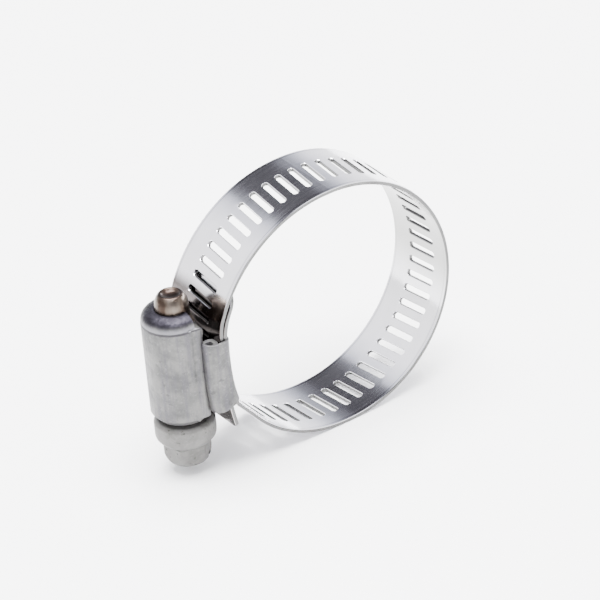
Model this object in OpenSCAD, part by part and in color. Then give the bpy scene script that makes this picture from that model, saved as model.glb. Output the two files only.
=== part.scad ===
// Worm-drive hose clamp: a slotted band, a barrel housing, a saddle and a worm screw.
// Frame: origin at the centre of the hose bore, Y along the bore, Z along the screw,
// the housing at -X and the screw's head pointing down. All sizes in millimetres.

/* [Band] */
// Inside radius of the loop at the setting drawn
bore_radius = 19.05; // [19.05:0.01:19.1]
// Width of the band
band_width = 12.7; // [12.5:0.1:12.7]
// Thickness of the band
band_thickness = 0.6; // [0.55:0.01:0.6]
// Distance from one slot to the next, which is also the pitch of the worm
pitch = 2.31; // [2.3:0.005:2.32]
// Width of a slot along the band
slot_width = 0.95; // [0.95:0.01:1.1]
// Length of a slot across the band, end to end
slot_length = 6.0; // [5.6:0.1:7]
// How far the slots sit off the middle of the band
slot_offset = 0.4; // [0:0.1:0.8]
// Slant of the slots, in degrees, to match the thread
slot_slant = 5.4; // [5:0.1:5.8]
// How far the free end reaches below the middle of the clamp
tail_reach = 11.9; // [11.5:0.1:12.3]
// Radius of the curve the free end lies on and slides along
strip_radius = 60; // [59.9:0.05:60.1]

/* [Housing] */
// Distance from the bore axis to the screw axis
screw_offset = 24.3; // [24.28:0.01:24.32]
// Inside radius of the barrel
barrel_inner_radius = 4.08; // [4.06:0.01:4.1]
// Sheet thickness of the barrel
barrel_sheet = 0.67; // [0.5:0.01:0.67]
// Sheet thickness of the saddle
saddle_sheet = 0.45; // [0.35:0.01:0.5]
// Height of the saddle's upper edge
saddle_top = 3.2; // [2.8:0.1:3.4]
// Depth of the saddle's lower edge below the middle, at the plate
saddle_bottom = 7.3; // [7:0.1:7.3]

/* [Screw] */
// Radius over the thread crests
crest_radius = 4.0; // [3.9:0.01:4.0]
// Radius of the core between the threads
core_radius = 3.0; // [2.9:0.05:3.1]
// Across-flats size of the hexagon
hex_across_flats = 6.35; // [6:0.05:7]
// Radius of the collar above the hexagon
collar_radius = 4.5; // [4.3:0.1:4.7]
// Turn of the hexagon about the screw axis, in degrees
hex_turn = 11; // [0:1:59]

/* [Hidden] */
fine = 180;
mid_r = bore_radius + band_thickness/2;

// ---- path of the band's middle line, seen along the bore ----
// The free end lies on an arc about strip_cx, which is also what it turns about as it slides.
strip_x = -(screw_offset - 3.76);
strip_cx = strip_x + strip_radius;
split_z = 4.2;
a_split = asin(split_z/strip_radius);
s_split = strip_radius*a_split*PI/180;
// upper left: a tight bend out of the housing, then a wide arc that meets the main one
upper_cx = -0.51;
upper_r = 20.96;
upper_cz = mid_r - upper_r;
reach_u = strip_cx - upper_cx;
gap_u = strip_radius - upper_r;
lever_u = (reach_u*reach_u + upper_cz*upper_cz - gap_u*gap_u)
    /(2*(reach_u*cos(a_split) + upper_cz*sin(a_split) - gap_u));
bend_r = strip_radius - lever_u;
bend_cx = strip_cx - lever_u*cos(a_split);
bend_cz = lever_u*sin(a_split);
a_bend = 180 - atan2(bend_cz - upper_cz, upper_cx - bend_cx);
s_bend = s_split + bend_r*(180 - a_split - a_bend)*PI/180;
s_top = s_bend + upper_r*(a_bend - 90)*PI/180;
s_main = s_top - upper_cx;
s_bottom = s_main + mid_r*PI;
// lower left, followed back from the tongue: an arc beside the free end, two bends and a straight
tongue_r = strip_radius - 0.62;
plate_r = 26;
plate_cx = strip_cx - (tongue_r - plate_r)*cos(2);
plate_cz = -(tongue_r - plate_r)*sin(2);
kink_r = 2.8;
kink_cx = plate_cx - (plate_r - kink_r)*cos(14);
kink_cz = plate_cz - (plate_r - kink_r)*sin(14);
low_x = kink_cx + kink_r*cos(219);
low_z = kink_cz + kink_r*sin(219);
fixed_shift = -low_x + mid_r*cos(219) - (low_z - mid_r*sin(219))*tan(39);
straight = (low_z - mid_r*sin(219))/cos(39);
tip_bend_r = 10.3;
tip_bend_z = 2.6;
a_tip = asin(tip_bend_z/tongue_r);
tip_bend_cx = strip_cx - (tongue_r - tip_bend_r)*cos(a_tip);
tip_bend_cz = (tongue_r - tip_bend_r)*sin(a_tip);
s_fixed = s_bottom + fixed_shift;
s_low = s_fixed + mid_r*51*PI/180;
s_kink = s_low + straight;
s_plate = s_kink + kink_r*25*PI/180;
s_tongue = s_plate + plate_r*12*PI/180;
s_tip_bend = s_tongue + tongue_r*(2 + a_tip)*PI/180;
s_tip = s_tip_bend + tip_bend_r*31*PI/180;
end_r = 22;
a_end = 149 - a_tip;
end_cx = tip_bend_cx + (tip_bend_r - end_r)*cos(a_end);
end_cz = tip_bend_cz + (tip_bend_r - end_r)*sin(a_end);
s_end = s_tip + 2;
end_cut = 2.2;

// slot positions counted along the band from the middle of the housing
first_slot = 0.78;
last_free_slot = -4;
first_loop_slot = 2;
last_loop_slot = 46;

// ---- housing ----
barrel_r = barrel_inner_radius + barrel_sheet;
barrel_bottom = -9.8;
closing_height = 0.9;
closed_r = 3.98;
neck_hole_r = core_radius + 0.08;
shoulder_start = 5.8;
tip_r = 2.5;
tip_hole_r = tip_r + 0.05;
strip_face = -strip_x + band_thickness/2;
flange_in = strip_face + 0.03;
side_gap = 0.07;
wall_y = band_width/2 + side_gap;
curl_x = 21.38;
curl_y = 5.2;
curl_in = wall_y - curl_y;
lip_y = 4.85;
flange_sheet = curl_x - flange_in;
flange_bottom = -8.1;
flange_top = 2.9;
open_x = 1.5;
ear_drop = 14.5;

// ---- screw ----
collar_top = -10.6;
collar_bottom = -13.4;
cone_bottom = -14.6;
hex_bottom = -17.9;
tip_end = 10.1;
thread_turns = 5;
thread_start = first_slot - 3.5*pitch;
crest_half = 0.25/pitch*360;
root_half = 0.50/pitch*360;
hex_r = hex_across_flats/2/cos(30);
slot_half = 0.5;

function on_arc(cx, cz, r, a) = [cx + r*cos(a), cz + r*sin(a), a];
function deg(length, r) = length/r*180/PI;
// place and facing of the band at a distance s along its middle line
function band_at(s) =
    s < s_split ? on_arc(strip_cx, 0, strip_radius, 180 - deg(s, strip_radius)) :
    s < s_bend ? on_arc(bend_cx, bend_cz, bend_r, 180 - a_split - deg(s - s_split, bend_r)) :
    s < s_top ? on_arc(upper_cx, upper_cz, upper_r, a_bend - deg(s - s_bend, upper_r)) :
    s < s_main ? [s - s_main, mid_r, 90] :
    s < s_bottom ? on_arc(0, 0, mid_r, 90 - deg(s - s_main, mid_r)) :
    s < s_fixed ? [s_bottom - s, -mid_r, -90] :
    s < s_low ? on_arc(-fixed_shift, 0, mid_r, 270 - deg(s - s_fixed, mid_r)) :
    s < s_kink ? [low_x + (s_kink - s)*cos(51), low_z - (s_kink - s)*sin(51), 219] :
    s < s_plate ? on_arc(kink_cx, kink_cz, kink_r, 219 - deg(s - s_kink, kink_r)) :
    s < s_tongue ? on_arc(plate_cx, plate_cz, plate_r, 194 - deg(s - s_plate, plate_r)) :
    s < s_tip_bend ? on_arc(strip_cx, 0, tongue_r, 182 - deg(s - s_tongue, tongue_r)) :
    s < s_tip ? on_arc(tip_bend_cx, tip_bend_cz, tip_bend_r, 180 - a_tip - deg(s - s_tip_bend, tip_bend_r)) :
    on_arc(end_cx, end_cz, end_r, a_end - deg(s - s_tip, end_r));

// the middle line at s, moved by t along the band's outward facing
function off(s, t) = let (p = band_at(s)) [p[0] + t*cos(p[2]), p[1] + t*sin(p[2])];
// evenly spaced distances from s0 to s1, both included
function spaced(s0, s1, n) = [for (k = [0:n]) s0 + (s1 - s0)*k/n];
// the cell boundaries between slots that lie well inside s0 to s1
function cells(s0, s1) = [for (j = [-6:60]) let (c = first_slot + (j + 0.5)*pitch)
    if (c > s0 + 0.5 && c < s1 - 0.5) c];

// a stretch of sheet that follows the listed distances, between two offsets from the middle line
module along(list, t0, t1, half_y) {
    rotate([90, 0, 0]) linear_extrude(2*half_y, center = true)
        polygon(concat([for (s = list) off(s, t1)], [for (k = [len(list) - 1:-1:0]) off(list[k], t0)]));
}

// a stretch of band bent about an axis along Y at x = cx, swept from angle a0
module bent(cx, r, a0, sweep) {
    translate([cx, 0, 0]) rotate([90, 0, 0]) rotate([0, 0, a0])
        rotate_extrude(angle = sweep, $fn = fine)
            translate([r - band_thickness/2, -band_width/2]) square([band_thickness, band_width]);
}

// everything above or below the level where the free end meets the loop
module above_split(up) {
    translate([-30, -10, up ? split_z : split_z - 20]) cube([up ? 30 : 20, 20, 20]);
}

// a short block inside the band that joins two stretches of it
module tie(s) {
    p = band_at(s);
    translate([p[0], 0, p[1]]) rotate([0, -p[2], 0])
        cube([band_thickness*0.4, band_width - 1, 0.3], center = true);
}

module slot_cutter(s) {
    p = band_at(s);
    reach = slot_length/2 - slot_width/2;
    depth = band_thickness + 0.3;
    translate([p[0], -slot_offset, p[1]]) rotate([0, -p[2], 0]) rotate([-slot_slant, 0, 0])
        rotate([90, 0, 90]) translate([0, 0, -depth/2]) linear_extrude(depth) {
            square([2*reach, slot_width], center = true);
            translate([reach, 0]) circle(d = slot_width, $fn = 32);
            translate([-reach, 0]) circle(d = slot_width, $fn = 32);
        }
}

// the loop, with the fixed end running through the housing under the free end
module band_loop() {
    color([0.80, 0.80, 0.82]) difference() {
        union() {
            intersection() {
                along(concat([s_split - 1], spaced(s_split, s_bend, 4), cells(s_bend, s_top),
                        [s_top, s_main]),
                    -band_thickness/2, band_thickness/2, band_width/2);
                above_split(true);
            }
            bent(0, mid_r, 270, 180);
            along(concat([s_bottom, s_fixed], cells(s_fixed, s_low), [s_low], spaced(s_kink, s_plate, 4),
                    spaced(s_plate + 0.7, s_tongue, 7), spaced(s_tongue + 1, s_tip_bend, 4),
                    spaced(s_tip_bend + 0.7, s_tip, 7), spaced(s_tip + 0.5, s_end, 3)),
                -band_thickness/2, band_thickness/2, band_width/2);
            for (s = [s_main, s_bottom]) tie(s);
        }
        for (i = [first_loop_slot:last_loop_slot]) slot_cutter(first_slot + i*pitch);
        // the two corners of the tongue's end are cut off
        for (side = [-1, 1]) translate([off(s_end, 0)[0], side*band_width/2, off(s_end, 0)[1]])
            rotate([0, -band_at(s_end)[2], 0]) translate([-0.325, 0, 0]) rotate([45, 0, 0])
                cube([1.35, end_cut*sqrt(2), end_cut*sqrt(2)], center = true);
    }
}

// the free end: a curved strip through the housing, with the slots the worm turns in
module band_free_end() {
    color([0.78, 0.78, 0.80]) difference() {
        union() {
            bent(strip_cx, strip_radius, 180, deg(tail_reach, strip_radius));
            intersection() {
                bent(strip_cx, strip_radius, 180, -5);
                above_split(false);
            }
            tie(0);
        }
        for (i = [last_free_slot:1]) slot_cutter(first_slot + i*pitch);
        // the two corners at the tip are cut off
        for (side = [-1, 1]) translate([off(-tail_reach, 0)[0], side*band_width/2, off(-tail_reach, 0)[1]])
            rotate([45, 0, 0]) cube([2, 0.6, 0.6], center = true);
    }
}

// section of one side of the barrel: wall, flange on the band and upturned edge.
// It is drawn about the screw axis, with the band on the +X side.
module cover_side() {
    base_x = screw_offset - curl_x;
    edge_r = curl_in - 0.03;
    difference() {
        union() {
            circle(r = barrel_r, $fn = fine);
            square([base_x + flange_sheet, barrel_r]);
            translate([base_x, 0]) square([flange_sheet, curl_y + edge_r]);
            intersection() {
                translate([base_x, curl_y]) difference() {
                    circle(r = edge_r, $fn = 64);
                    circle(r = edge_r - flange_sheet, $fn = 64);
                }
                translate([base_x - 3, curl_y]) square([3, 3]);
            }
        }
        circle(r = barrel_inner_radius, $fn = fine);
        translate([0, -1]) square([6, 1 + barrel_inner_radius]);
        translate([-6, -6]) square([14, 6]);
    }
}

// the barrel: a rolled cover over the screw, closed in at both ends
module housing_cover() {
    flange_height = flange_top - flange_bottom;
    barrel_low = barrel_bottom + closing_height;
    color([0.72, 0.72, 0.74]) translate([-screw_offset, 0, 0]) {
        for (side = [0, 1]) mirror([0, side, 0])
            translate([0, 0, flange_bottom]) linear_extrude(flange_height) cover_side();
        difference() {
            rotate_extrude($fn = fine) polygon([
                [neck_hole_r, barrel_bottom], [closed_r, barrel_bottom], [barrel_r, barrel_low],
                [barrel_r, shoulder_start], [barrel_r - 0.09, 6.4], [barrel_r - 0.35, 6.9],
                [barrel_r - 0.75, 7.3], [barrel_r - 1.35, 7.6], [barrel_r - 2, 7.75], [tip_hole_r, 7.75],
                [tip_hole_r, 7.15], [barrel_inner_radius - 0.8, 7.0], [barrel_inner_radius - 0.3, 6.6],
                [barrel_inner_radius, shoulder_start], [barrel_inner_radius, barrel_low + 0.2],
                [neck_hole_r, barrel_bottom + 0.4]
            ]);
            // open towards the band
            translate([open_x, -6, barrel_bottom - 1]) cube([6, 12, 20]);
        }
    }
}

// everything below the saddle's sloping lower edge
module below_saddle() {
    translate([-18.5, 0, -saddle_bottom]) rotate([0, -ear_drop, 0])
        translate([-12, -9, -9]) cube([20, 18, 9]);
}

// the saddle: a curved plate under both layers, with ears that curl over the barrel's flanges
module saddle() {
    outer_t = -band_thickness/2 - 0.02;
    inner_t = outer_t - saddle_sheet;
    height = saddle_top + 9.5;
    color([0.70, 0.70, 0.71]) difference() {
        union() {
            along(spaced(s_plate - 1, s_tip_bend + 1.6, 20), inner_t, outer_t, wall_y);
            for (side = [0, 1]) mirror([0, side, 0]) {
                translate([0, wall_y + saddle_sheet, 0]) rotate([90, 0, 0]) linear_extrude(saddle_sheet)
                    polygon(concat([for (s = spaced(s_plate - 1, s_tip_bend + 1.6, 20)) off(s, inner_t)],
                        [[-curl_x, 5], [-curl_x, -9.5]]));
                translate([-curl_x, curl_y, -9.5]) linear_extrude(height) {
                    intersection() {
                        difference() {
                            circle(r = curl_in + saddle_sheet, $fn = 64);
                            circle(r = curl_in, $fn = 64);
                        }
                        translate([-3, 0]) square([3, 3]);
                    }
                    translate([-curl_in - saddle_sheet, lip_y - curl_y]) square([saddle_sheet, curl_y - lip_y]);
                }
            }
        }
        below_saddle();
        translate([-26, -9, saddle_top]) cube([10, 18, 10]);
    }
}

// one slice through the thread ridge: a full-height crest with sloping flanks
module ridge() {
    foot = core_radius - 0.2;
    polygon(concat(
        [[0, 0], foot*[cos(root_half), -sin(root_half)]],
        [for (i = [-4:4]) crest_radius*[cos(i*crest_half/4), sin(i*crest_half/4)]],
        [foot*[cos(root_half), sin(root_half)]]));
}

module worm_screw() {
    color([0.64, 0.64, 0.63]) translate([-screw_offset, 0, 0]) {
        // thread, joined to the core
        translate([0, 0, thread_start])
            linear_extrude(thread_turns*pitch, twist = -360*thread_turns, slices = 36*thread_turns)
                rotate(180) ridge();
        // cone, collar, core and rounded tip with a dish in its end
        rotate_extrude($fn = fine) polygon([
            [0, cone_bottom - 0.4], [2.8, cone_bottom - 0.4], [2.8, cone_bottom], [3.4, cone_bottom],
            [collar_radius - 0.15, collar_bottom - 0.35], [collar_radius, collar_bottom],
            [collar_radius, collar_top - 0.6], [collar_radius - 0.6, collar_top], [core_radius, collar_top],
            [core_radius, 5.4], [tip_r, 5.4], [tip_r, 8.2], [tip_r - 0.12, 8.9], [tip_r - 0.42, 9.6],
            [tip_r - 0.85, tip_end], [tip_r - 1.1, tip_end], [tip_r - 1.6, tip_end - 0.4], [0, tip_end - 0.4]
        ]);
        // hexagon with a driver slot
        difference() {
            intersection() {
                translate([0, 0, hex_bottom]) rotate([0, 0, hex_turn])
                    cylinder(h = cone_bottom - hex_bottom + 0.3, r = hex_r, $fn = 6);
                translate([0, 0, hex_bottom])
                    cylinder(h = 8, r1 = hex_r*0.78, r2 = hex_r*0.78 + 8, $fn = fine);
            }
            rotate([0, 0, hex_turn + 120]) translate([-5, -slot_half, hex_bottom - 1])
                cube([10, 2*slot_half, 2.2]);
        }
    }
}

band_loop();
band_free_end();
housing_cover();
saddle();
worm_screw();
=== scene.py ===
# Looks for the worm-drive hose clamp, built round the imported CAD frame. Lengths in the helpers are in
# millimetres and become metres where a mesh is made. Frame: Y along the bore, Z along the screw.
import math

import bmesh
import bpy
from mathutils import Matrix, Vector


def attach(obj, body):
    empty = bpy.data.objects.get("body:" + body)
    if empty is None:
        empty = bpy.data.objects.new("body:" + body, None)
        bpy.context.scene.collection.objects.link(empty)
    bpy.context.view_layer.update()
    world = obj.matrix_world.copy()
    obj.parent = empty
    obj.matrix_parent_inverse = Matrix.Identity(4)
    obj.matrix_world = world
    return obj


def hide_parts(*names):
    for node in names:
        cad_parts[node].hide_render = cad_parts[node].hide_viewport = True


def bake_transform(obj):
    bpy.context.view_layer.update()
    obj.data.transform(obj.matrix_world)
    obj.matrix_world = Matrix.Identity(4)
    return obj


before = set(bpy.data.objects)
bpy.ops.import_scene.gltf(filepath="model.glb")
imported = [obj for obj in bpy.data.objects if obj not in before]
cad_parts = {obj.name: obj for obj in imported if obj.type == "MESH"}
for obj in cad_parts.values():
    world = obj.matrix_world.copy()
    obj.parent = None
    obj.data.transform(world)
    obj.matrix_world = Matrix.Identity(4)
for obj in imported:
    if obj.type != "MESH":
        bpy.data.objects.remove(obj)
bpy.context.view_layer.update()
PI = math.pi
RAD = math.radians
MM = 0.001

# ---------------------------------------------------------------- sizes, as in the CAD source
MID_R, THICK, WIDTH = 19.35, 0.60, 12.7      # the loop's middle radius, the strip's thickness and width
PITCH, FIRST_SLOT, SLOT_W, SLOT_L = 2.31, 0.78, 0.95, 6.0
SLANT, SLOT_Y = math.tan(RAD(5.4)), -0.4
AXIS_X = -24.3          # the screw's axis

# the band's path: centres and radii of its arcs, and S_ distances along it where each stretch ends
STRIP_R = 60.0
STRIP_X = -20.54
STRIP_CX = STRIP_X + STRIP_R
A_SPLIT = math.asin(4.2 / STRIP_R)
S_SPLIT = STRIP_R * A_SPLIT
UP_X, UP_R = -0.51, 20.96
UP_Z = MID_R - UP_R
SPAN, GAP = STRIP_CX - UP_X, STRIP_R - UP_R
LEVER = (SPAN ** 2 + UP_Z ** 2 - GAP ** 2) / (
    2 * (SPAN * math.cos(A_SPLIT) + UP_Z * math.sin(A_SPLIT) - GAP))
BEND_R = STRIP_R - LEVER
BEND_X, BEND_Z = STRIP_CX - LEVER * math.cos(A_SPLIT), LEVER * math.sin(A_SPLIT)
A_BEND = PI - math.atan2(BEND_Z - UP_Z, UP_X - BEND_X)
S_BEND = S_SPLIT + BEND_R * (PI - A_SPLIT - A_BEND)
S_TOP = S_BEND + UP_R * (A_BEND - PI / 2)
S_MAIN = S_TOP - UP_X
S_BOTTOM = S_MAIN + MID_R * PI
TONGUE_R, PLATE_R, KINK_R, TIP_R = STRIP_R - 0.62, 26.0, 2.8, 10.3
PLATE_X = STRIP_CX - (TONGUE_R - PLATE_R) * math.cos(RAD(2))
PLATE_Z = -(TONGUE_R - PLATE_R) * math.sin(RAD(2))
KINK_X = PLATE_X - (PLATE_R - KINK_R) * math.cos(RAD(14))
KINK_Z = PLATE_Z - (PLATE_R - KINK_R) * math.sin(RAD(14))
A_LOW, A_RAMP = RAD(219), RAD(39)      # where the kink's arc leaves for the ramp, and the ramp's slope
LOW_X, LOW_Z = KINK_X + KINK_R * math.cos(A_LOW), KINK_Z + KINK_R * math.sin(A_LOW)
RISE = LOW_Z - MID_R * math.sin(A_LOW)
FIXED_SHIFT = -LOW_X + MID_R * math.cos(A_LOW) - RISE * math.tan(A_RAMP)
A_TIP = math.asin(2.6 / TONGUE_R)
TIP_X, TIP_Z = STRIP_CX - (TONGUE_R - TIP_R) * math.cos(A_TIP), (TONGUE_R - TIP_R) * math.sin(A_TIP)
S_FIXED = S_BOTTOM + FIXED_SHIFT
S_LOW = S_FIXED + MID_R * RAD(51)
S_KINK = S_LOW + RISE / math.cos(A_RAMP)
S_PLATE = S_KINK + KINK_R * RAD(25)
S_TONGUE = S_PLATE + PLATE_R * RAD(12)
S_TIP_BEND = S_TONGUE + TONGUE_R * (RAD(2) + A_TIP)
S_TIP = S_TIP_BEND + TIP_R * RAD(31)
END_R, A_END = 22.0, RAD(149) - A_TIP
END_X, END_Z = TIP_X + (TIP_R - END_R) * math.cos(A_END), TIP_Z + (TIP_R - END_R) * math.sin(A_END)
S_END = S_TIP + 2.0


# ---------------------------------------------------------------- small helpers
def obj_from(name, verts, faces, mat=None, uv=None):
    """A mesh object from points in millimetres, with optional UVs per vertex."""
    me = bpy.data.meshes.new(name)
    me.from_pydata([tuple(c * MM for c in v) for v in verts], [], faces)
    me.update()
    if uv:
        layer = me.uv_layers.new(name="strip")
        for loop in me.loops:
            layer.data[loop.index].uv = uv[loop.vertex_index]
    ob = bpy.data.objects.new(name, me)
    bpy.context.scene.collection.objects.link(ob)
    if mat:
        me.materials.append(mat)
    return ob


def clean(ob):
    """Merges doubled points, drops loose ones and turns every face outwards."""
    bm = bmesh.new()
    bm.from_mesh(ob.data)
    bmesh.ops.remove_doubles(bm, verts=bm.verts, dist=1e-7)
    bmesh.ops.delete(bm, geom=[v for v in bm.verts if not v.link_faces], context="VERTS")
    bmesh.ops.recalc_face_normals(bm, faces=bm.faces)
    bm.to_mesh(ob.data)
    bm.free()


def apply_modifiers(ob):
    dg = bpy.context.evaluated_depsgraph_get()
    me = bpy.data.meshes.new_from_object(ob.evaluated_get(dg))
    ob.modifiers.clear()
    ob.data = me


def smooth(ob, degrees):
    """Smooth shading, with edges sharper than the angle kept crisp."""
    me = ob.data
    for p in me.polygons:
        p.use_smooth = True
    bm = bmesh.new()
    bm.from_mesh(me)
    limit = RAD(degrees)
    for e in bm.edges:
        if len(e.link_faces) == 2:
            e.smooth = e.calc_face_angle(0) < limit
        else:
            e.smooth = False
    bm.to_mesh(me)
    bm.free()


# ---------------------------------------------------------------- band
def on_arc(cx, cz, r, a):
    return cx + r * math.cos(a), cz + r * math.sin(a), a


def band_at(s):
    """Place and facing angle of the band's middle line at a distance s from the middle of the housing."""
    if s < S_SPLIT:
        return on_arc(STRIP_CX, 0, STRIP_R, PI - s / STRIP_R)
    if s < S_BEND:
        return on_arc(BEND_X, BEND_Z, BEND_R, PI - A_SPLIT - (s - S_SPLIT) / BEND_R)
    if s < S_TOP:
        return on_arc(UP_X, UP_Z, UP_R, A_BEND - (s - S_BEND) / UP_R)
    if s < S_MAIN:
        return s - S_MAIN, MID_R, PI / 2
    if s < S_BOTTOM:
        return on_arc(0, 0, MID_R, PI / 2 - (s - S_MAIN) / MID_R)
    if s < S_FIXED:
        return S_BOTTOM - s, -MID_R, -PI / 2
    if s < S_LOW:
        return on_arc(-FIXED_SHIFT, 0, MID_R, -PI / 2 - (s - S_FIXED) / MID_R)
    if s < S_KINK:
        left = S_KINK - s
        return LOW_X + left * math.cos(RAD(51)), LOW_Z - left * math.sin(RAD(51)), A_LOW
    if s < S_PLATE:
        return on_arc(KINK_X, KINK_Z, KINK_R, A_LOW - (s - S_KINK) / KINK_R)
    if s < S_TONGUE:
        return on_arc(PLATE_X, PLATE_Z, PLATE_R, RAD(194) - (s - S_PLATE) / PLATE_R)
    if s < S_TIP_BEND:
        return on_arc(STRIP_CX, 0, TONGUE_R, RAD(182) - (s - S_TONGUE) / TONGUE_R)
    if s < S_TIP:
        return on_arc(TIP_X, TIP_Z, TIP_R, PI - A_TIP - (s - S_TIP_BEND) / TIP_R)
    return on_arc(END_X, END_Z, END_R, A_END - (s - S_TIP) / END_R)


def beside_band(z, t):
    """x of the line t outside the band's middle line at height z, on the fixed side of the housing."""
    lo, hi = S_PLATE - 0.8, S_TIP_BEND + 4
    for _ in range(40):
        mid = (lo + hi) / 2
        x, y, a = band_at(mid)
        if y + t * math.sin(a) < z:
            lo = mid
        else:
            hi = mid
    return x + t * math.cos(a)


class Strip:
    """A stretch of band, laid out flat as (s, y, t) and then bent to shape."""

    CH = 0.07               # chamfer on every edge
    REACH, BIG = 2.95, 3.7  # where the cell round a slot turns its corner, and its end, across the band

    def __init__(self):
        self.index, self.flat, self.faces = {}, [], []

    def v(self, s, y, t):
        key = (round(s, 4), round(y, 4), round(t, 4))
        if key not in self.index:
            self.index[key] = len(self.flat)
            self.flat.append(key)
        return self.index[key]

    def quad(self, *pts):
        ids = []
        for p in pts:
            i = self.v(*p)
            if i not in ids:
                ids.append(i)
        if len(ids) > 2:
            self.faces.append(ids)

    def both(self, a, b, c, d):
        """The same quad on the outer and the inner face."""
        for t in (THICK / 2, -THICK / 2):
            self.quad(*[(p[0], p[1], t) for p in (a, b, c, d)])

    def cell_rings(self, mid):
        """The slot's outline, its chamfered outline and the cell outline round it, point for point."""
        h, a, n, k = SLOT_W / 2, SLOT_L / 2 - SLOT_W / 2, 8, 8
        big, reach = self.BIG, self.REACH
        half = PITCH / 2
        hole, rim, cell = [], [], []
        ys = [-a + 2 * a * i / n for i in range(n + 1)]

        def put(s, y, ring):
            ring.append((mid + s + SLANT * y, SLOT_Y + y))

        for side in (-1, 1):
            for y in ys[:-1]:
                put(side * h, -side * y, hole)
                put(side * (h + self.CH), -side * y, rim)
                cell.append((mid + side * half, SLOT_Y - side * y * reach / a))
            for i in range(k):
                ang = PI * i / k
                ds, dy = side * math.cos(ang), -side * math.sin(ang)
                put(h * ds, -side * a + h * dy, hole)
                put((h + self.CH) * ds, -side * a + (h + self.CH) * dy, rim)
                if i <= k // 4:
                    f = i / (k / 4)
                    cell.append((mid + side * half, SLOT_Y - side * (reach + (big - reach) * f)))
                elif i <= 3 * k // 4:
                    f = (i - k / 4) / (k / 2)
                    cell.append((mid + side * half * (1 - 2 * f), SLOT_Y - side * big))
                else:
                    f = (i - 3 * k / 4) / (k / 4)
                    cell.append((mid - side * half, SLOT_Y - side * (big + (reach - big) * f)))
        return hole, rim, cell

    def margins(self, s_list):
        """The plain margins either side of the slots, out to the chamfered edges."""
        big, edge = self.BIG, WIDTH / 2
        for lo, hi in zip(s_list[:-1], s_list[1:]):
            for y0, y1 in ((SLOT_Y + big, edge - self.CH), (-edge + self.CH, SLOT_Y - big)):
                self.both((lo, y0), (hi, y0), (hi, y1), (lo, y1))
            t0, t1 = THICK / 2, THICK / 2 - self.CH
            for side in (-1, 1):
                yi, yo = side * (edge - self.CH), side * edge
                for q in (1, -1):
                    self.quad((lo, yi, q * t0), (hi, yi, q * t0), (hi, yo, q * t1), (lo, yo, q * t1))
                self.quad((lo, yo, t1), (hi, yo, t1), (hi, yo, -t1), (lo, yo, -t1))

    def slotted(self, i):
        """One pitch of band with slot i in its middle."""
        mid = FIRST_SLOT + i * PITCH
        hole, rim, cell = self.cell_rings(mid)
        n = len(hole)
        t0, t1 = THICK / 2, THICK / 2 - self.CH
        for j in range(n):
            m = (j + 1) % n
            self.both(rim[j], rim[m], cell[m], cell[j])
            for q in (1, -1):
                self.quad((*hole[j], q * t1), (*hole[m], q * t1), (*rim[m], q * t0), (*rim[j], q * t0))
            self.quad((*hole[j], t1), (*hole[m], t1), (*hole[m], -t1), (*hole[j], -t1))
        self.margins([mid + PITCH * (f / 4 - 0.5) for f in range(5)])

    def plain(self, s0, s1, n):
        """A stretch with no slot, in n rows."""
        s_list = [s0 + (s1 - s0) * f / n for f in range(n + 1)]
        a, reach, big = SLOT_L / 2 - SLOT_W / 2, self.REACH, self.BIG
        ys = [SLOT_Y - big, SLOT_Y - (reach + big) / 2] + [
            SLOT_Y + (-a + 2 * a * i / 8) * reach / a for i in range(9)
        ] + [SLOT_Y + (reach + big) / 2, SLOT_Y + big]
        for lo, hi in zip(s_list[:-1], s_list[1:]):
            for y0, y1 in zip(ys[:-1], ys[1:]):
                self.both((lo, y0), (hi, y0), (hi, y1), (lo, y1))
        self.margins(s_list)

    def cap(self, s):
        """Closes a cut end."""
        ends = [k for k in self.flat if abs(k[0] - s) < 1e-3]
        ys = sorted({k[1] for k in ends if abs(abs(k[2]) - THICK / 2) < 1e-4})
        t0, t1, edge = THICK / 2, THICK / 2 - self.CH, WIDTH / 2
        for y0, y1 in zip(ys[:-1], ys[1:]):
            self.quad((s, y0, t0), (s, y1, t0), (s, y1, -t0), (s, y0, -t0))
        for side in (-1, 1):
            yi, yo = side * (edge - self.CH), side * edge
            self.quad((s, yi, t0), (s, yo, t1), (s, yo, -t1), (s, yi, -t0))

    def build(self, name, mat, taper=None):
        verts, uv = [], []
        for s, y, t in self.flat:
            u, w = s, y
            if taper:
                s, y, t = taper(s, y, t)
            x, z, a = band_at(s)
            verts.append((x + t * math.cos(a), y, z + t * math.sin(a)))
            uv.append((u * MM, w * MM))
        ob = obj_from(name, verts, self.faces, mat, uv)
        clean(ob)
        smooth(ob, 30)
        return ob


def rounded_end(s_end, radius):
    """Rounds the two corners of the strip's end at s_end."""
    def taper(s, y, t):
        d = abs(s - s_end)
        if d < radius:
            cut_edge_and_shade = radius - math.sqrt(max(0.0, radius ** 2 - (radius - d) ** 2))
            y *= (WIDTH / 2 - cut_edge_and_shade) / (WIDTH / 2)
        return s, y, t
    return taper


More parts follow.
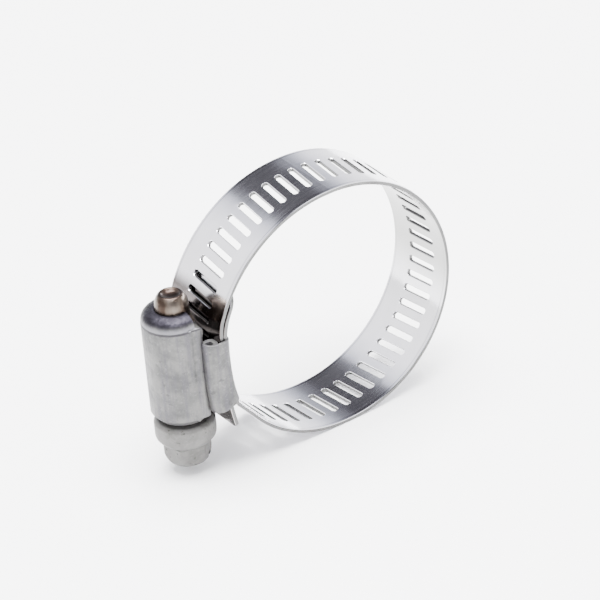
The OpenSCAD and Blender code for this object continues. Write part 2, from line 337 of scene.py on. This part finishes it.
def make_band(steel):
    """The free half with its tail, the fixed half, and the fixed end's tongue above the housing."""
    seam = FIRST_SLOT + 13.5 * PITCH
    tail_end = -11.9
    upper = Strip()
    start = FIRST_SLOT - 4.5 * PITCH
    for a, b in ((0.0, 0.15), (0.15, 0.4), (0.4, 0.9)):
        upper.plain(tail_end + a, tail_end + b, 1)
    upper.plain(tail_end + 0.9, start, 3)
    for i in range(-4, 14):
        upper.slotted(i)
    upper.cap(tail_end)
    upper.cap(seam)
    ob_upper = upper.build("band_free_half", steel, rounded_end(tail_end, 0.5))

    lower = Strip()
    for i in range(14, 47):
        lower.slotted(i)
    s = FIRST_SLOT + 46.5 * PITCH
    lower.plain(s, S_KINK - 0.3, 14)
    lower.plain(S_KINK - 0.3, S_PLATE + 0.3, 9)
    lower.plain(S_PLATE + 0.3, S_TONGUE, 10)
    lower.cap(seam)
    lower.cap(S_TONGUE)
    ob_lower = lower.build("band_fixed_half", steel)

    tongue = Strip()
    corner = 2.8
    tongue.plain(S_TONGUE, S_END - corner, 14)
    rows = (corner, 2.2, 1.6, 1.1, 0.7, 0.4, 0.2, 0.07, 0.0)
    for a, b in zip(rows[:-1], rows[1:]):
        tongue.plain(S_END - a, S_END - b, 1)
    tongue.cap(S_TONGUE)
    tongue.cap(S_END)
    ob_tongue = tongue.build("band_fixed_tip", steel, rounded_end(S_END, corner))
    return ob_upper, ob_lower, ob_tongue


# ---------------------------------------------------------------- sheet pieces
def sheet(name, rows, keep, thickness, mat, bevel):
    """A bent sheet from a grid of middle-surface points. keep(i, j) says which cells exist."""
    nr, nc = len(rows), len(rows[0])
    verts = [p for row in rows for p in row]
    faces = []
    for i in range(nr - 1):
        for j in range(nc - 1):
            if keep(i, j):
                faces.append((i * nc + j, i * nc + j + 1, (i + 1) * nc + j + 1, (i + 1) * nc + j))
    ob = obj_from(name, verts, faces, mat)
    clean(ob)
    m = ob.modifiers.new("thick", "SOLIDIFY")
    m.thickness = thickness * MM
    m.offset = 0.0
    m.use_even_offset = True
    b = ob.modifiers.new("edge", "BEVEL")
    b.width = bevel * MM
    b.segments = 2
    b.limit_method = "ANGLE"
    b.angle_limit = RAD(50)
    apply_modifiers(ob)
    smooth(ob, 40)
    return ob


def arc_pts(cx, cy, r, a0, a1, n):
    return [(cx + r * math.cos(RAD(a0 + (a1 - a0) * i / n)),
             cy + r * math.sin(RAD(a0 + (a1 - a0) * i / n))) for i in range(n + 1)]


def make_cover(zinc):
    """The barrel. Its section is drawn about the screw axis, x towards the band."""
    r = 4.415
    wall = [(3.17, 5.1)] + arc_pts(2.67, 4.915, 0.5, 0, -90, 6)[1:]      # fillet from flange to wall
    # the wall swells a little just ahead of the ear's lip, with a shallow hollow behind the swelling
    wall += [(1.9, 4.42), (1.5, 4.46), (1.25, 4.55), (1.0, 4.60), (0.75, 4.56), (0.5, 4.45),
             (0.25, 4.365), (0.0, 4.34), (-0.3, 4.37)]
    edge = arc_pts(2.55, 5.45, 0.62, 90, 0, 6)                           # turned-up edge, outside in
    n_ring = 26
    lip_z, lip_height, lip_in = -8.9, 0.9, 0.76                          # the closed-in lower end
    zs = [-9.8, -9.62, -9.44, -9.26, -9.08, -8.9, -8.7, -8.1, -7, -5, -3, -1, 1, 2.0, 2.9, 3.6, 4.3, 5.0, 5.4,
          5.6]
    # crease and domed shoulder
    top = [(4.40, 5.70), (4.31, 5.78), (4.27, 5.86), (4.32, 5.95), (4.35, 6.1), (4.34, 6.25), (4.29, 6.45),
           (4.17, 6.68), (4.0, 6.89), (3.78, 7.07), (3.5, 7.22), (3.2, 7.33), (2.9, 7.40), (2.57, 7.43)]
    rows = []

    def row(z, rad, flat):
        """One level of the barrel: with its flat wall, or with the ring carried on to the opening."""
        pts = list(edge) + list(wall)
        a0 = 94.0
        if not flat:
            a_open = math.degrees(math.acos(min(1.0, 1.55 / rad)))
            for k in range(len(wall)):
                f = k / (len(wall) - 1)
                a = RAD(a_open + (a0 - a_open) * f)
                pts[len(edge) + k] = (rad * math.cos(a), rad * math.sin(a))
        pts += arc_pts(0, 0, rad, a0, 180, n_ring)
        other = [(x, -y) for x, y in pts[::-1]][1:]
        return [(AXIS_X + x, y, z) for x, y in pts + other]

    for z in zs:
        if z >= lip_z:
            rows.append(row(z, r, flat=True))
        else:
            rows.append(row(z, r - lip_in * (lip_z - z) / lip_height, flat=False))
    for rad, z in top:
        rows.append(row(z, rad, flat=False))
    heights = zs + [z for rad, z in top]
    nc = len(rows[0])
    lo = len(edge) + 8

    def keep(i, j):
        """The flanges and turned-up edges are only on the stretch that the ears hold."""
        inside = lo <= j < nc - 1 - lo
        z = (heights[i] + heights[i + 1]) / 2
        return inside or -8.1 < z < 2.9
    return sheet("barrel", rows, keep, 0.64, zinc, 0.13)


def make_saddle(zinc):
    """Curved plate with two ears that curl over the cover's flanges."""
    z_low, z_high, n = -7.3, 3.2, 22
    rows = []
    wall_y, corner, rr = 6.65, 1.0, 1.55
    for i in range(n + 1):
        u = i / n
        z0 = z_low + (z_high - z_low) * u
        px = beside_band(z0, -0.545)
        top_x = -22.875 + 0.45 * max(0.0, 1 - u / 0.42) ** 1.6     # the ears' lower ends sit lower
        half = [(px, 0.0), (px, 2.0), (px, 4.0), (px, 5.2)]
        for a in (0, 15, 30, 45, 60, 75, 90):
            ca, sa = math.cos(RAD(a)), math.sin(RAD(a))
            half.append((px - corner * (1 - ca), wall_y - corner + corner * sa))
        x0, x1 = px - corner, top_x + rr
        half += [(x0 + (x1 - x0) * f, wall_y) for f in (0.25, 0.5, 0.75, 1.0)]
        for a in (12, 24, 36, 48, 60, 72, 84, 92):
            half.append((top_x + rr * (1 - math.sin(RAD(a))), wall_y - rr * (1 - math.cos(RAD(a)))))
        half.append((top_x + 0.02, 4.9))
        pts = []
        for x, y in half:
            f = max(0.0, min(1.0, (px - x) / 4.4))
            drop = (1 - u) ** 1.5 * 1.15 * (1 - (1 - f) ** 2)      # the ears hang a little below the plate
            pts.append((x, y, z0 - drop))
        rows.append([(x, -y, z) for x, y, z in pts[::-1]][:-1] + pts)
    return sheet("saddle_plate", rows, lambda i, j: True, 0.45, zinc, 0.12)


# ---------------------------------------------------------------- screw
def lathe(name, profile, mat, n, radius_at):
    """A turned piece about the screw axis. radius_at changes the radius by height and angle."""
    verts, faces = [], []
    for r, z in profile:
        for k in range(n):
            a = 2 * PI * k / n
            rr = radius_at(r, z, a)
            verts.append((AXIS_X + rr * math.cos(a), rr * math.sin(a), z))
    for i in range(len(profile) - 1):
        for k in range(n):
            m = (k + 1) % n
            faces.append((i * n + k, i * n + m, (i + 1) * n + m, (i + 1) * n + k))
    top = len(verts)
    verts.append((AXIS_X, 0, profile[-1][1]))
    bottom = len(verts)
    verts.append((AXIS_X, 0, profile[0][1]))
    last = (len(profile) - 1) * n
    for k in range(n):
        m = (k + 1) % n
        faces.append((last + k, last + m, top))
        faces.append((m, k, bottom))
    ob = obj_from(name, verts, faces, mat)
    clean(ob)
    return ob


def make_screw(zinc):
    """The hexagon, collar, core and tip in one turned piece, and the thread round it."""
    turn, flat, corner = RAD(11), 3.165, 3.58
    hex_top = -14.45

    def hexed(r, z, a):
        """Cuts the hexagon's flats, with its six corners worn a little."""
        if z > hex_top:
            return r
        b = (a - turn + PI / 6) % (PI / 3) - PI / 6
        wear = 0.05 * math.exp(-((abs(b) - PI / 6) / 0.09) ** 2)
        return min(min(flat / math.cos(b), corner) - wear, r)

    head = [(2.2, -17.88), (2.62, -17.88), (2.78, -17.84), (2.93, -17.72), (3.10, -17.52), (3.24, -17.28),
            (3.38, -16.95), (3.5, -16.5), (5, -16.0), (5, -15.6), (5, -15.2), (5, -14.9), (3.62, -14.66),
            (3.70, -14.45), (3.95, -14.2), (4.2, -13.95), (4.38, -13.7), (4.47, -13.4), (4.5, -13.1),
            (4.5, -11.35), (4.46, -11.15), (4.33, -10.97), (4.1, -10.74), (3.92, -10.63), (3.7, -10.6),
            (3.2, -10.6), (3.0, -10.55), (3.0, -9.6), (3.0, 0.0), (3.0, 5.35), (2.5, 5.45), (2.5, 8.0),
            (2.48, 8.4), (2.42, 8.8), (2.32, 9.15), (2.17, 9.48), (2.0, 9.75), (1.82, 9.95),
            (1.66, 10.06), (1.52, 10.1), (1.40, 10.06), (1.25, 9.92), (1.05, 9.76), (0.8, 9.67),
            (0.4, 9.62), (0.15, 9.61)]
    body = lathe("screw_body", head, zinc, 144, hexed)
    # driver slot in the hexagon's end
    bpy.ops.mesh.primitive_cube_add(size=1)
    cutter = bpy.context.object
    cutter.matrix_world = (Matrix.Translation((AXIS_X * MM, 0, -17.9 * MM))
                           @ Matrix.Rotation(turn + RAD(120), 4, "Z")
                           @ Matrix.Diagonal((12 * MM, 1.0 * MM, 2.4 * MM, 1)))
    b = body.modifiers.new("slot", "BOOLEAN")
    b.operation = "DIFFERENCE"
    b.object = cutter
    b.solver = "EXACT"
    apply_modifiers(body)
    bpy.data.objects.remove(cutter)
    smooth(body, 38)
    # the thread: five turns of a tapered ridge
    verts, faces = [], []
    steps, turns, root, low, high = 48, 5, 2.9, 2.95, 4.0
    z0 = FIRST_SLOT - 3.5 * PITCH
    for i in range(steps * turns + 1):
        a = PI + 2 * PI * i / steps
        z = z0 + PITCH * i / steps
        grow = min(1.0, i / 10, (steps * turns - i) / 10)
        crest = low + (high - low) * grow
        for r, dz in ((root, -0.46), (crest - 0.06, -0.25), (crest, -0.19),
                      (crest, 0.19), (crest - 0.06, 0.25), (root, 0.46)):
            verts.append((AXIS_X + r * math.cos(a), r * math.sin(a), z + dz))
    for i in range(steps * turns):
        for k in range(6):
            m = (k + 1) % 6
            faces.append((6 * i + k, 6 * i + m, 6 * (i + 1) + m, 6 * (i + 1) + k))
    last = 6 * steps * turns
    faces.append(tuple(range(6)))
    faces.append(tuple(last + k for k in range(6)))
    thread = obj_from("screw_thread", verts, faces, zinc)
    clean(thread)
    smooth(thread, 35)
    return body, thread


# ---------------------------------------------------------------- materials
def nodes_of(name):
    m = bpy.data.materials.new(name)
    m.use_nodes = True
    nt = m.node_tree
    bsdf = nt.nodes["Principled BSDF"]
    return m, nt, bsdf


def add(nt, kind, **values):
    n = nt.nodes.new(kind)
    for k, v in values.items():
        if hasattr(n, k):
            setattr(n, k, v)
        else:
            n.inputs[k.replace("_", " ")].default_value = v
    return n


def link(nt, socket, value):
    """Set a socket to a number, or link it to another socket."""
    if isinstance(value, bpy.types.NodeSocket):
        nt.links.new(value, socket)
    else:
        socket.default_value = value


def calc(nt, operation, *values):
    n = add(nt, "ShaderNodeMath", operation=operation)
    for socket, value in zip(n.inputs, values):
        link(nt, socket, value)
    return n.outputs[0]


def step(nt, value, start, end, low=0.0, high=1.0):
    """A soft step: low before start, high after end."""
    n = add(nt, "ShaderNodeMapRange", interpolation_type="SMOOTHSTEP")
    if start > end:
        start, end, low, high = end, start, high, low
    for socket, v in zip(("From Min", "From Max", "To Min", "To Max"), (start, end, low, high)):
        n.inputs[socket].default_value = v
    link(nt, n.inputs["Value"], value)
    return n.outputs["Result"]


def blend_colour(nt, share, a, b):
    n = add(nt, "ShaderNodeMix", data_type="RGBA")
    for socket, v in (("A", a), ("B", b)):
        link(nt, n.inputs[socket], v if isinstance(v, bpy.types.NodeSocket) else (*v, 1))
    link(nt, n.inputs["Factor"], share)
    return n.outputs["Result"]


def noise(nt, vector, scale, detail, rough, stretch=(1, 1, 1)):
    if stretch != (1, 1, 1):
        mp = add(nt, "ShaderNodeMapping")
        mp.inputs["Scale"].default_value = stretch
        nt.links.new(vector, mp.inputs["Vector"])
        vector = mp.outputs["Vector"]
    n = add(nt, "ShaderNodeTexNoise", Scale=float(scale), Detail=detail, Roughness=rough)
    nt.links.new(vector, n.inputs["Vector"])
    return n.outputs["Fac"]


def places(nt):
    """The point in the part's own frame: the vector, and x, y and z in millimetres."""
    co = add(nt, "ShaderNodeTexCoord").outputs["Object"]
    xyz = add(nt, "ShaderNodeSeparateXYZ")
    nt.links.new(co, xyz.inputs["Vector"])
    return co, *(calc(nt, "MULTIPLY", xyz.outputs[k], 1000.0) for k in "XYZ")


def bumped(nt, bsdf, height, mm, strength=0.4):
    n = add(nt, "ShaderNodeBump", Strength=strength, Distance=mm * MM)
    link(nt, n.inputs["Height"], height)
    nt.links.new(n.outputs["Normal"], bsdf.inputs["Normal"])


def band_steel():
    """Bright rolled strip: fine lines along it and dark cut edges, partly duller sheared steel and partly
    painted shade; more painted shade in a dark line inside each long edge, on the upper inside face of the
    loop, where the band enters the housing and on the tail below it.
    """
    m, nt, bsdf = nodes_of("band_steel_rolled")
    bsdf.inputs["Metallic"].default_value = 1.0
    uv = add(nt, "ShaderNodeUVMap", uv_map="strip").outputs["UV"]
    lines = noise(nt, uv, 1.0, 3.0, 0.6, (150, 9000, 1))
    cloud = noise(nt, uv, 260.0, 4.0, 0.6, (1, 2.2, 1))
    across = add(nt, "ShaderNodeSeparateXYZ")
    nt.links.new(uv, across.inputs["Vector"])
    y = calc(nt, "MULTIPLY", calc(nt, "ABSOLUTE", across.outputs["Y"]), 1000.0)
    # painted shade: a thin dark line just inside each long edge of the band
    painted_edge_shade_line = calc(nt, "MULTIPLY", step(nt, y, 5.72, 5.86), step(nt, y, 6.08, 5.95))
    base = blend_colour(nt, lines, (0.75, 0.743, 0.787), (0.85, 0.842, 0.876))
    base = blend_colour(nt, step(nt, cloud, 0.35, 0.75, 0.0, 0.35), base, (0.66, 0.66, 0.70))
    base = blend_colour(nt, calc(nt, "MULTIPLY", painted_edge_shade_line, 0.55), base, (0.28, 0.28, 0.32))
    _, px, _, pz = places(nt)
    # painted shade on the tail below the housing, under the saddle and beside the screw head
    painted_tail_shade = calc(nt, "MULTIPLY", step(nt, pz, -7.4, -8.6), step(nt, px, -18.6, -19.0))
    base = blend_colour(nt, calc(nt, "MULTIPLY", painted_tail_shade, 0.75), base, (0.17, 0.15, 0.135))
    side = add(nt, "ShaderNodeSeparateXYZ")
    nt.links.new(add(nt, "ShaderNodeNewGeometry").outputs["Normal"], side.inputs["Vector"])
    # painted shade: the outward face near-black where the band enters the housing beside the barrel
    painted_entry_shade = calc(nt, "MULTIPLY", step(nt, pz, 9.6, 7.2), step(nt, px, -15.5, -17.5))
    painted_entry_shade = calc(nt, "MULTIPLY", painted_entry_shade, step(nt, pz, -1.0, 1.0))
    painted_entry_shade = calc(nt, "MULTIPLY", painted_entry_shade, step(nt, side.outputs["X"], -0.2, -0.6))
    base = blend_colour(nt, calc(nt, "MULTIPLY", painted_entry_shade, 0.93), base, (0.055, 0.042, 0.037))
    radial = calc(nt, "ADD", calc(nt, "MULTIPLY", side.outputs["X"], px),
                  calc(nt, "MULTIPLY", side.outputs["Z"], pz))
    # painted shade on the inside face of the loop's upper half
    painted_inner_shade = calc(nt, "MULTIPLY", step(nt, radial, 2.0, -2.0), step(nt, pz, -12.0, 0.0))
    base = blend_colour(nt, calc(nt, "MULTIPLY", painted_inner_shade, 0.9), base, (0.245, 0.245, 0.235))
    # cut edges and slot walls: partly the duller sheared steel, partly painted shade
    cut_edge_and_shade = step(nt, calc(nt, "ABSOLUTE", radial), 10.0, 4.0)
    base = blend_colour(nt, cut_edge_and_shade, base, blend_colour(nt, cloud, (0.06, 0.06, 0.059), (0.15, 0.15, 0.15)))
    link(nt, bsdf.inputs["Base Color"], base)
    rough = calc(nt, "ADD", step(nt, lines, 0.2, 0.8, 0.10, 0.20), calc(nt, "MULTIPLY", cut_edge_and_shade, 0.25))
    link(nt, bsdf.inputs["Roughness"], rough)
    bumped(nt, bsdf, lines, 0.02, 0.05)
    return m


def zinc_pressed(name, shoulder):
    """Matte plated sheet: mottled, with drawn streaks and small dark flecks; on the barrel, painted shade on
    the closed-in shoulder and in the crease below it, and a painted highlight on the bead between them.
    """
    m, nt, bsdf = nodes_of(name)
    bsdf.inputs["Metallic"].default_value = 0.55
    co, _, _, z = places(nt)
    cloud = noise(nt, co, 330, 4.0, 0.6)
    streak = noise(nt, co, 1500, 3.0, 0.6, (1, 1, 0.07))
    fine = noise(nt, co, 3000, 3.0, 0.6)
    fleck = noise(nt, co, 900, 2.0, 0.5)
    base = blend_colour(nt, step(nt, cloud, 0.33, 0.67), (0.057, 0.057, 0.058), (0.109, 0.108, 0.104))
    base = blend_colour(nt, step(nt, streak, 0.42, 0.68, 0.0, 0.6), base, (0.057, 0.053, 0.067))
    base = blend_colour(nt, step(nt, fine, 0.55, 0.75, 0.0, 0.35), base, (0.20, 0.20, 0.20))
    base = blend_colour(nt, step(nt, fleck, 0.36, 0.28, 0.0, 0.55), base, (0.030, 0.030, 0.030))
    if shoulder:
        # painted shade and dark reflection on the closed-in shoulder
        painted_shoulder_shade = step(nt, z, 6.35, 7.15)
        shade = blend_colour(nt, step(nt, cloud, 0.35, 0.65), (0.010, 0.009, 0.012), (0.030, 0.028, 0.036))
        base = blend_colour(nt, painted_shoulder_shade, base, shade)
        link(nt, bsdf.inputs["Metallic"], step(nt, painted_shoulder_shade, 0.0, 1.0, 0.55, 0.97))
        # painted highlight: a lighter lilac band along the bead between crease and shoulder
        painted_bead_highlight = calc(nt, "MULTIPLY", step(nt, z, 5.8, 6.0), step(nt, z, 6.8, 6.2))
        base = blend_colour(nt, calc(nt, "MULTIPLY", painted_bead_highlight, 0.7), base, (0.143, 0.140, 0.158))
        # painted shade: a dark line in the crease between the wall and the shoulder
        painted_crease_shade = calc(nt, "MULTIPLY", step(nt, z, 5.5, 5.68), step(nt, z, 5.95, 5.78))
        painted_crease_shade = calc(nt, "MULTIPLY", painted_crease_shade, step(nt, cloud, 0.25, 0.5, 0.3, 0.9))
        base = blend_colour(nt, painted_crease_shade, base, (0.020, 0.018, 0.022))
    link(nt, bsdf.inputs["Base Color"], base)
    link(nt, bsdf.inputs["Roughness"], step(nt, cloud, 0.25, 0.75, 0.52, 0.38))
    height = calc(nt, "ADD", calc(nt, "MULTIPLY", cloud, 1.6), calc(nt, "MULTIPLY", fine, 0.5))
    bumped(nt, bsdf, calc(nt, "ADD", height, calc(nt, "MULTIPLY", streak, 0.6)), 0.12, 0.8)
    return m


def zinc_screw():
    """Cold-formed screw: pitted grey head, bronze-brown polished tip and a dark dished end."""
    m, nt, bsdf = nodes_of("zinc_screw")
    co, x, y, z = places(nt)
    cloud = noise(nt, co, 420, 4.0, 0.6)
    fine = noise(nt, co, 2600, 3.0, 0.6)
    pits = noise(nt, co, 1300, 2.0, 0.55)
    pit = step(nt, pits, 0.36, 0.27)
    base = blend_colour(nt, step(nt, cloud, 0.3, 0.7), (0.081, 0.079, 0.075), (0.127, 0.124, 0.120))
    base = blend_colour(nt, step(nt, fine, 0.5, 0.8, 0.0, 0.5), base, (0.166, 0.163, 0.156))
    base = blend_colour(nt, calc(nt, "MULTIPLY", pit, 0.9), base, (0.028, 0.027, 0.024))
    seam = calc(nt, "MULTIPLY", step(nt, z, -14.95, -14.75), step(nt, z, -14.45, -14.65))
    seam = calc(nt, "MULTIPLY", seam, step(nt, cloud, 0.4, 0.6))
    base = blend_colour(nt, calc(nt, "MULTIPLY", seam, 0.85), base, (0.022, 0.021, 0.019))
    tip = step(nt, z, 5.0, 5.4)
    around = noise(nt, co, 520, 2.0, 0.5, (1, 1, 0.12))
    brown = blend_colour(nt, step(nt, around, 0.40, 0.62), (0.030, 0.020, 0.015), (0.115, 0.095, 0.078))
    brown = blend_colour(nt, step(nt, cloud, 0.45, 0.8, 0.0, 0.5), brown, (0.036, 0.028, 0.025))
    base = blend_colour(nt, tip, base, brown)
    off_axis = calc(nt, "ADD", x, -AXIS_X)
    r = calc(nt, "SQRT", calc(nt, "ADD", calc(nt, "MULTIPLY", off_axis, off_axis),
                              calc(nt, "MULTIPLY", y, y)))
    dish = calc(nt, "MULTIPLY", step(nt, r, 2.0, 1.75), step(nt, z, 9.0, 9.3))
    base = blend_colour(nt, calc(nt, "MULTIPLY", dish, 0.9), base, (0.030, 0.021, 0.018))
    link(nt, bsdf.inputs["Base Color"], base)
    link(nt, bsdf.inputs["Metallic"], step(nt, tip, 0.0, 1.0, 0.5, 1.0))
    link(nt, bsdf.inputs["Roughness"], calc(nt, "ADD", step(nt, tip, 0.0, 1.0, 0.5, 0.26),
                                            calc(nt, "MULTIPLY", cloud, 0.1)))
    height = calc(nt, "ADD", calc(nt, "MULTIPLY", cloud, 1.2), calc(nt, "MULTIPLY", fine, 0.5))
    bumped(nt, bsdf, calc(nt, "SUBTRACT", height, pit), 0.07)
    return m


# ---------------------------------------------------------------- build
steel = band_steel()
cover_mat = zinc_pressed("zinc_cover", True)
saddle_mat = zinc_pressed("zinc_saddle", False)
screw_mat = zinc_screw()
upper, lower, tongue = make_band(steel)
barrel = make_cover(cover_mat)
saddle = make_saddle(saddle_mat)
screw_body, thread = make_screw(screw_mat)

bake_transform(upper)
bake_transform(tongue)
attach(lower, "housing")
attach(barrel, "housing")
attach(saddle, "housing")
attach(screw_body, "screw")
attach(thread, "screw")
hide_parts("band_free_end")
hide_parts("band_loop")
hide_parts("housing_cover")
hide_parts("saddle")
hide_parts("worm_screw")

# ---------------------------------------------------------------- floor, light and camera
floor_mat, nt, bsdf = nodes_of("pale_floor")
bsdf.inputs["Base Color"].default_value = (0.92, 0.92, 0.92, 1)
bsdf.inputs["Roughness"].default_value = 0.7
bpy.ops.mesh.primitive_plane_add(size=3.0, location=(0, 0, -0.01966))
floor = bpy.context.object
floor.name = "floor"
floor.data.materials.append(floor_mat)

world = bpy.data.worlds.new("studio")
bpy.context.scene.world = world
world.use_nodes = True
wn = world.node_tree
bg = wn.nodes["Background"]
bg.inputs["Strength"].default_value = 3.0
# an even white tent with a dim opening high behind the clamp and another facing it, which the band
# mirrors: the direction of the one behind, and how many degrees from its middle the ramp goes
OPENING, FADE = (0.2695, 0.7405, 0.6157), 60
sky = add(wn, "ShaderNodeTexCoord")
unit = add(wn, "ShaderNodeVectorMath", operation="NORMALIZE")
level = add(wn, "ShaderNodeVectorMath", operation="DOT_PRODUCT")
level.inputs[1].default_value = (*OPENING[:2], 0)
height = add(wn, "ShaderNodeVectorMath", operation="DOT_PRODUCT")
height.inputs[1].default_value = (0, 0, OPENING[2])
angle = add(wn, "ShaderNodeMath", operation="ARCCOSINE")
across = add(wn, "ShaderNodeSeparateXYZ")
ramp = add(wn, "ShaderNodeValToRGB")
stops = [(0.0, (0.02, 0.019, 0.023)), (8, (0.025, 0.024, 0.029)), (12, (0.08, 0.08, 0.092)),
         (17, (0.22, 0.23, 0.265)), (22, (0.42, 0.43, 0.485)), (28, (0.72, 0.73, 0.78)),
         (38, (0.97, 0.97, 1.0)), (FADE, (1.0, 1.0, 1.0))]     # degrees from an opening's middle, colour
cr = ramp.color_ramp
while len(cr.elements) < len(stops):
    cr.elements.new(0.5)
for e, (deg, col) in zip(cr.elements, stops):
    e.position = deg / FADE
    e.color = (*col, 1)
wn.links.new(sky.outputs["Generated"], unit.inputs[0])
wn.links.new(unit.outputs["Vector"], level.inputs[0])
wn.links.new(unit.outputs["Vector"], height.inputs[0])
both = calc(wn, "ADD", calc(wn, "ABSOLUTE", level.outputs["Value"]), height.outputs["Value"])
wn.links.new(both, angle.inputs[0])
# each opening has a crisp edge on one side and fades out on the other
wn.links.new(unit.outputs["Vector"], across.inputs["Vector"])
side = calc(wn, "MULTIPLY", across.outputs["X"], calc(wn, "SIGN", level.outputs["Value"]))
crisp = calc(wn, "MULTIPLY", step(wn, side, 0.25, 0.05, 0.0, 0.35), step(wn, side, -0.11, -0.04))
spread = calc(wn, "MULTIPLY", angle.outputs[0], 1 / RAD(FADE))
share = calc(wn, "MULTIPLY", spread, calc(wn, "SUBTRACT", 1.0, crisp))
wn.links.new(share, ramp.inputs["Fac"])
wn.links.new(ramp.outputs["Color"], bg.inputs["Color"])


def area(name, loc, size, power):
    """A soft square light aimed at the part's origin."""
    d = bpy.data.lights.new(name, "AREA")
    d.shape = "RECTANGLE"
    d.size = d.size_y = size
    d.energy = power
    o = bpy.data.objects.new(name, d)
    bpy.context.scene.collection.objects.link(o)
    o.location = loc
    o.rotation_mode = "QUATERNION"
    o.rotation_quaternion = (Vector((0, 0, 0)) - Vector(loc)).to_track_quat("-Z", "Y")


area("overhead", (0, 0, 1.5), 1.2, 160.0)
area("key", (-0.25, -0.30, 0.45), 0.35, 0.6)

cam_data = bpy.data.cameras.new("camera")
cam_data.sensor_width = 36
cam_data.lens = 322.81
cam_data.clip_start, cam_data.clip_end = 0.05, 20
cam = bpy.data.objects.new("camera", cam_data)
bpy.context.scene.collection.objects.link(cam)
az, el, roll = RAD(-32.462), RAD(31.969), RAD(-5.75)
back = Vector((math.sin(az) * math.cos(el), -math.cos(az) * math.cos(el), math.sin(el)))
cam.rotation_mode = "QUATERNION"
cam.rotation_quaternion = (-back).to_track_quat("-Z", "Y") @ Matrix.Rotation(roll, 3, "Z").to_quaternion()
cam.location = (-0.35748, -0.55775, 0.41203)
bpy.context.scene.camera = cam
